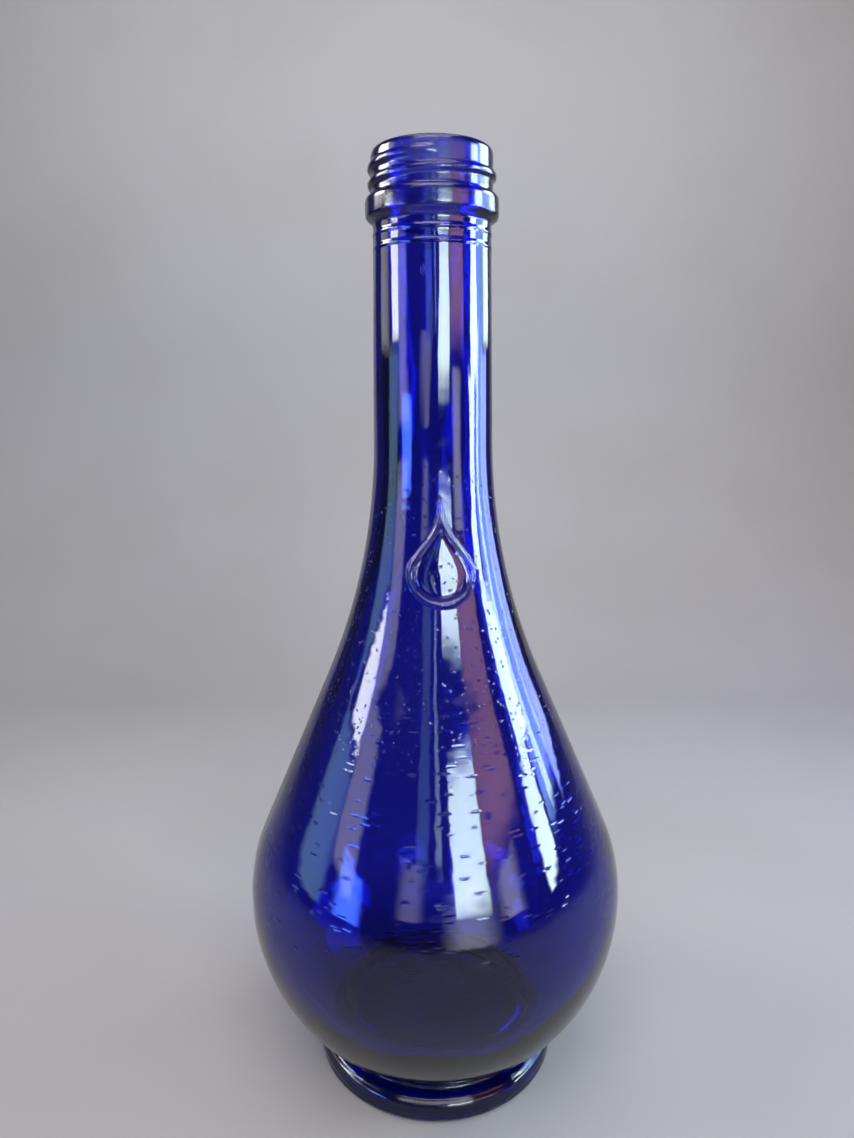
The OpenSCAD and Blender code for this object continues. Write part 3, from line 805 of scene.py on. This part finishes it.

# %% [markdown]
# ## Paper and table
# The paper is matt and pale, with the faint cloudiness of a real sheet. Its colour is painted a little
# paler high up than at the bottle's foot. This is painted light: it stands in for the brighter light on
# the upper sweep and the dimmer light on the floor. The same dust lies on it, as a slightly darker tint.

# %% Paper material
# Painted light: a painted shade at the foot and a painted lighter tone high up, not the paper's own colour
paper_painted_shade, paper_painted_light, soil_tint = (0.31, 0.29, 0.285), (0.35, 0.33, 0.325), (0.93, 0.92, 0.9)
paper_rough, painted_light_full_at = 0.85, 0.35
paper = bpy.data.materials.new("pale_paper")
paper.use_nodes = True
paper_tree = paper.node_tree
sheet = paper_tree.nodes["Principled BSDF"]
sheet.inputs["Roughness"].default_value = paper_rough
paper_place = group_node(paper_tree, "TexCoord")
paper_split = group_node(paper_tree, "SeparateXYZ")
# Painted light: the colour is mixed by height, from the painted shade up to the painted light
painted_light_rise = group_node(paper_tree, "MapRange")
painted_light_rise.inputs["From Max"].default_value = painted_light_full_at
painted_light_mix = group_node(paper_tree, "Mix", data_type="RGBA")
painted_light_mix.inputs["A"].default_value = (*paper_painted_shade, 1)
painted_light_mix.inputs["B"].default_value = (*paper_painted_light, 1)
paper_dust = paper_tree.nodes.new("ShaderNodeGroup")
paper_dust.node_tree = dust
paper_dust.inputs["Speck Scale"].default_value = 260
paper_dust.inputs["Patch Scale"].default_value = 9
paper_dust.inputs["Amount"].default_value = 0.05
paper_soil = group_node(paper_tree, "Mix", data_type="RGBA", blend_type="MULTIPLY")
paper_soil.inputs["B"].default_value = (*soil_tint, 1)
paper_tree.links.new(paper_place.outputs["Object"], paper_split.inputs[0])
paper_tree.links.new(paper_split.outputs["Z"], painted_light_rise.inputs["Value"])
paper_tree.links.new(painted_light_rise.outputs["Result"], painted_light_mix.inputs["Factor"])
paper_tree.links.new(painted_light_mix.outputs["Result"], paper_soil.inputs["A"])
paper_tree.links.new(paper_dust.outputs["Patches"], paper_soil.inputs["Factor"])
paper_tree.links.new(paper_soil.outputs["Result"], sheet.inputs["Base Color"])
for piece in (table_top, paper_sweep):
    piece.data.materials.append(paper)
print("paper material with", len(paper_tree.nodes), "nodes")

# %% [markdown]
# ## Lamps
# Glass shows its lamps as streaks, so tall narrow soft boxes stand round the bottle like windows.
# A real one is cloth with a lamp behind it, so its light fades and wanders at the edges. That is one
# node group: the lamp's own two coordinates give the distance from its sides and ends, and noise
# stirs it.

# %% Soft cloth of the lamps
side_soft, end_soft, cloth_stir = 0.2, 0.12, 0.06
soft_cloth = bpy.data.node_groups.new("soft_cloth", "ShaderNodeTree")
for name, value in (("Side Fade", side_soft), ("End Fade", end_soft), ("Stir", cloth_stir)):
    soft_cloth.interface.new_socket(name, in_out="INPUT", socket_type="NodeSocketFloat").default_value = value
soft_cloth.interface.new_socket("Light", in_out="OUTPUT", socket_type="NodeSocketColor")
cloth_given, cloth_made = soft_cloth.nodes.new("NodeGroupInput"), soft_cloth.nodes.new("NodeGroupOutput")
cloth_place = group_node(soft_cloth, "NewGeometry")
cloth_split = group_node(soft_cloth, "SeparateXYZ")
cloth_noise = group_node(soft_cloth, "TexNoise")
cloth_noise.inputs["Scale"].default_value, cloth_noise.inputs["Detail"].default_value = 9, 3
stir = group_node(soft_cloth, "Math", operation="MULTIPLY_ADD")
stir.inputs[2].default_value = 0
centred = group_node(soft_cloth, "Math", operation="SUBTRACT")
centred.inputs[1].default_value = 0.5
soft_cloth.links.new(cloth_place.outputs["Parametric"], cloth_split.inputs[0])
soft_cloth.links.new(cloth_place.outputs["Position"], cloth_noise.inputs["Vector"])
soft_cloth.links.new(cloth_noise.outputs["Fac"], centred.inputs[0])
soft_cloth.links.new(centred.outputs[0], stir.inputs[0])
soft_cloth.links.new(cloth_given.outputs["Stir"], stir.inputs[1])
fades = []
for axis, fade in (("X", "Side Fade"), ("Y", "End Fade")):
    from_edge = group_node(soft_cloth, "Math", operation="PINGPONG")
    from_edge.inputs[1].default_value = 0.5
    stirred = group_node(soft_cloth, "Math", operation="ADD")
    rise = group_node(soft_cloth, "MapRange", interpolation_type="SMOOTHSTEP")
    soft_cloth.links.new(cloth_split.outputs[axis], from_edge.inputs[0])
    soft_cloth.links.new(from_edge.outputs[0], stirred.inputs[0])
    soft_cloth.links.new(stir.outputs[0], stirred.inputs[1])
    soft_cloth.links.new(stirred.outputs[0], rise.inputs["Value"])
    soft_cloth.links.new(cloth_given.outputs[fade], rise.inputs["From Max"])
    fades.append(rise)
both_fades = group_node(soft_cloth, "Math", operation="MULTIPLY")
for k, rise in enumerate(fades):
    soft_cloth.links.new(rise.outputs["Result"], both_fades.inputs[k])
soft_cloth.links.new(both_fades.outputs[0], cloth_made.inputs["Light"])
print("soft cloth group with", len(soft_cloth.nodes), "nodes")

# %% [markdown]
# Each box is placed by its bearing round the bottle, counted from the camera, because a mirrored
# lamp on a round neck turns twice as fast as the surface does. Height is given the same way, as the
# angle over a point a tenth of a metre above the table. The glow is how bright a box looks, where 1
# is white paper in full light. Its fades are shares of its width and height, over which its light
# grows to full: a short one draws a hard-edged window, and a long one a sill or a wall. A tilt
# turns a high box down to the bottle. Each box has a grid in front, as studio lamps do. It keeps
# the light on the bottle and off the paper. A grid gathers the same power into less room, so the
# power is cut by the share of it that a grid of that angle would let through.

# %% Soft boxes
lamp_eye, lamp_lowest = 0.1, 0.002
grid_half = math.radians(52)
grid_share = math.sin(grid_half) ** 2 - (grid_half - math.sin(2 * grid_half) / 2) / math.tan(grid_half)


def add_lamp(name, width, height, glow, tint, fade, end_fade=end_soft):
    """An area lamp behind soft cloth, which looks as bright as its glow from any distance."""
    data = bpy.data.lights.new(name, "AREA")
    data.shape, data.size, data.size_y = "RECTANGLE", width, height
    data.energy = glow * math.pi * width * height
    data.color = tint
    data.use_nodes = True
    cloth = data.node_tree.nodes.new("ShaderNodeGroup")
    cloth.node_tree = soft_cloth
    cloth.inputs["Side Fade"].default_value, cloth.inputs["End Fade"].default_value = fade, end_fade
    data.node_tree.links.new(cloth.outputs["Light"], data.node_tree.nodes["Emission"].inputs["Color"])
    lamp = bpy.data.objects.new(name, data)
    scene.collection.objects.link(lamp)
    lamp.visible_camera = False
    return lamp


def soft_box(name, bearings, rises, distance, glow,
             tint=(1, 1, 1), fade=side_soft, end_fade=end_soft, tilt=0):
    """A box between two bearings and two rises in degrees, facing the bottle from a distance in metres."""
    near, far = bearings
    width = 2 * distance * math.tan(math.radians(far - near) / 2)
    low, high = (distance * math.tan(math.radians(r)) + lamp_eye for r in rises)
    low = max(low, lamp_lowest)
    lamp = add_lamp(name, width, high - low, glow, tint, fade, end_fade)
    way = math.radians((near + far) / 2) - camera_round
    lamp.location = (math.sin(way) * distance, -math.cos(way) * distance, (low + high) / 2)
    lamp.rotation_euler = (math.pi / 2 - math.radians(tilt), 0, way)
    lamp.data.spread = 2 * grid_half
    lamp.data.energy *= grid_share
    print(f"{name}: lights the bottle with {glow * width * (high - low) / distance**2:.2f}")


white, cool, warm, mint = (1, 0.97, 0.97), (0.75, 1, 1), (1, 0.48, 0.25), (0.78, 1, 0.92)
sky, sea, deep, lilac = (0.5, 0.85, 2.0), (0.55, 1, 1.4), (0.15, 0.4, 2.4), (1, 0.9, 1.2)
soft_box("window_front", (9.5, 33), (5.5, 22.5), 0.7, 24, mint, 0.08, 0.3)
soft_box("sill_front", (0, 38), (-15, 8), 0.34, 3.4, (0.95, 1, 1.3), 0.4)
soft_box("sill_front_right", (34, 56), (1, 10), 0.66, 4, white, 0.4)
soft_box("sill_front_left", (-25, -4), (5, 13), 0.66, 2.2, white, 0.4)
soft_box("window_right", (75, 93), (8, 27), 0.62, 26, (0.74, 1, 0.95), 0.15)
soft_box("window_right_low", (70, 84), (-0.5, 10), 0.64, 22, mint, 0.15)
soft_box("window_right_slit", (90.5, 97.5), (0, 14), 0.61, 10, cool)
soft_box("window_right_blue", (84, 110), (-1, 28), 0.6, 6, sky, 0.1)
soft_box("window_right_far", (107, 134), (11, 24), 0.58, 12, cool, 0.25)
soft_box("window_right_top", (96, 130), (23, 35), 0.58, 26, cool, 0.25)
soft_box("sill_right_far", (103, 125), (-4, 12), 0.59, 6.5, (0.6, 0.8, 2.4), 0.25)
soft_box("window_left", (-87, -67), (11.5, 22), 0.62, 19, (0.96, 1, 1))
soft_box("window_left_top", (-86, -72), (22, 31), 0.62, 3, (0.96, 1, 1))
soft_box("window_left_far", (-116, -84), (22, 35), 0.6, 32, (1, 0.96, 0.95), 0.2)
soft_box("shade_left", (-117, -90), (10, 23), 0.64, 2.6, white, 0.25)
soft_box("sill_left", (-96, -66), (-4, 12), 0.66, 2.0, sea, 0.2)
soft_box("curtain_left", (-70, -48), (4, 20), 0.67, 3.2, white, 0.2)
soft_box("blue_left", (-62, -40), (-4, 8), 0.66, 10, deep, 0.3)
soft_box("wall_right", (31, 64), (9, 25), 0.75, 4.6, warm, 0.12, 0.3)
soft_box("slit_front", (-14, -3), (11, 27), 0.7, 1.2, sea, 0.25)
soft_box("slit_middle", (0, 4.5), (12, 27), 0.72, 4.5, cool, 0.3)
soft_box("room_top", (-45, 45), (26.5, 38), 0.7, 2.0, lilac, 0.2)
soft_box("strip_top", (-42, 42), (42, 56), 0.5, 7, white, 0.15, tilt=45)

ceiling_size, ceiling_y, ceiling_z, ceiling_glow = 0.8, -0.15, 0.9, 3.0
ceiling = add_lamp("ceiling", ceiling_size, ceiling_size, ceiling_glow, white, side_soft)
ceiling.location = (0, ceiling_y, ceiling_z)
ceiling_light = ceiling_glow * ceiling_size**2 / (ceiling_z**2 + ceiling_y**2)
print(f"ceiling: lights the table with about {ceiling_light:.2f}")

room_dim = (0.07, 0.07, 0.08, 1)
world = bpy.data.worlds.new("soft_room")
world.use_nodes = True
world.node_tree.nodes["Background"].inputs["Color"].default_value = room_dim
scene.world = world

# %% [markdown]
# ## Bounces
# Light that crosses the bottle meets two walls, and each wall has two faces. Near the rims it runs
# on inside the glass and meets many more. With too few bounces those places would turn black.

# %% Render settings that belong to the glass
glass_bounces = 24
scene.view_settings.view_transform = "Standard"
scene.cycles.max_bounces = glass_bounces
scene.cycles.transmission_bounces = glass_bounces
scene.cycles.glossy_bounces = 8
scene.cycles.diffuse_bounces = 3
print("light may bounce", glass_bounces, "times")

# %% [markdown]
# ## The box of what was made
# The box of what was made is printed, in metres.

# %% Box of what was made
low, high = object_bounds()
print("visual box in metres:", tuple(low), tuple(high))
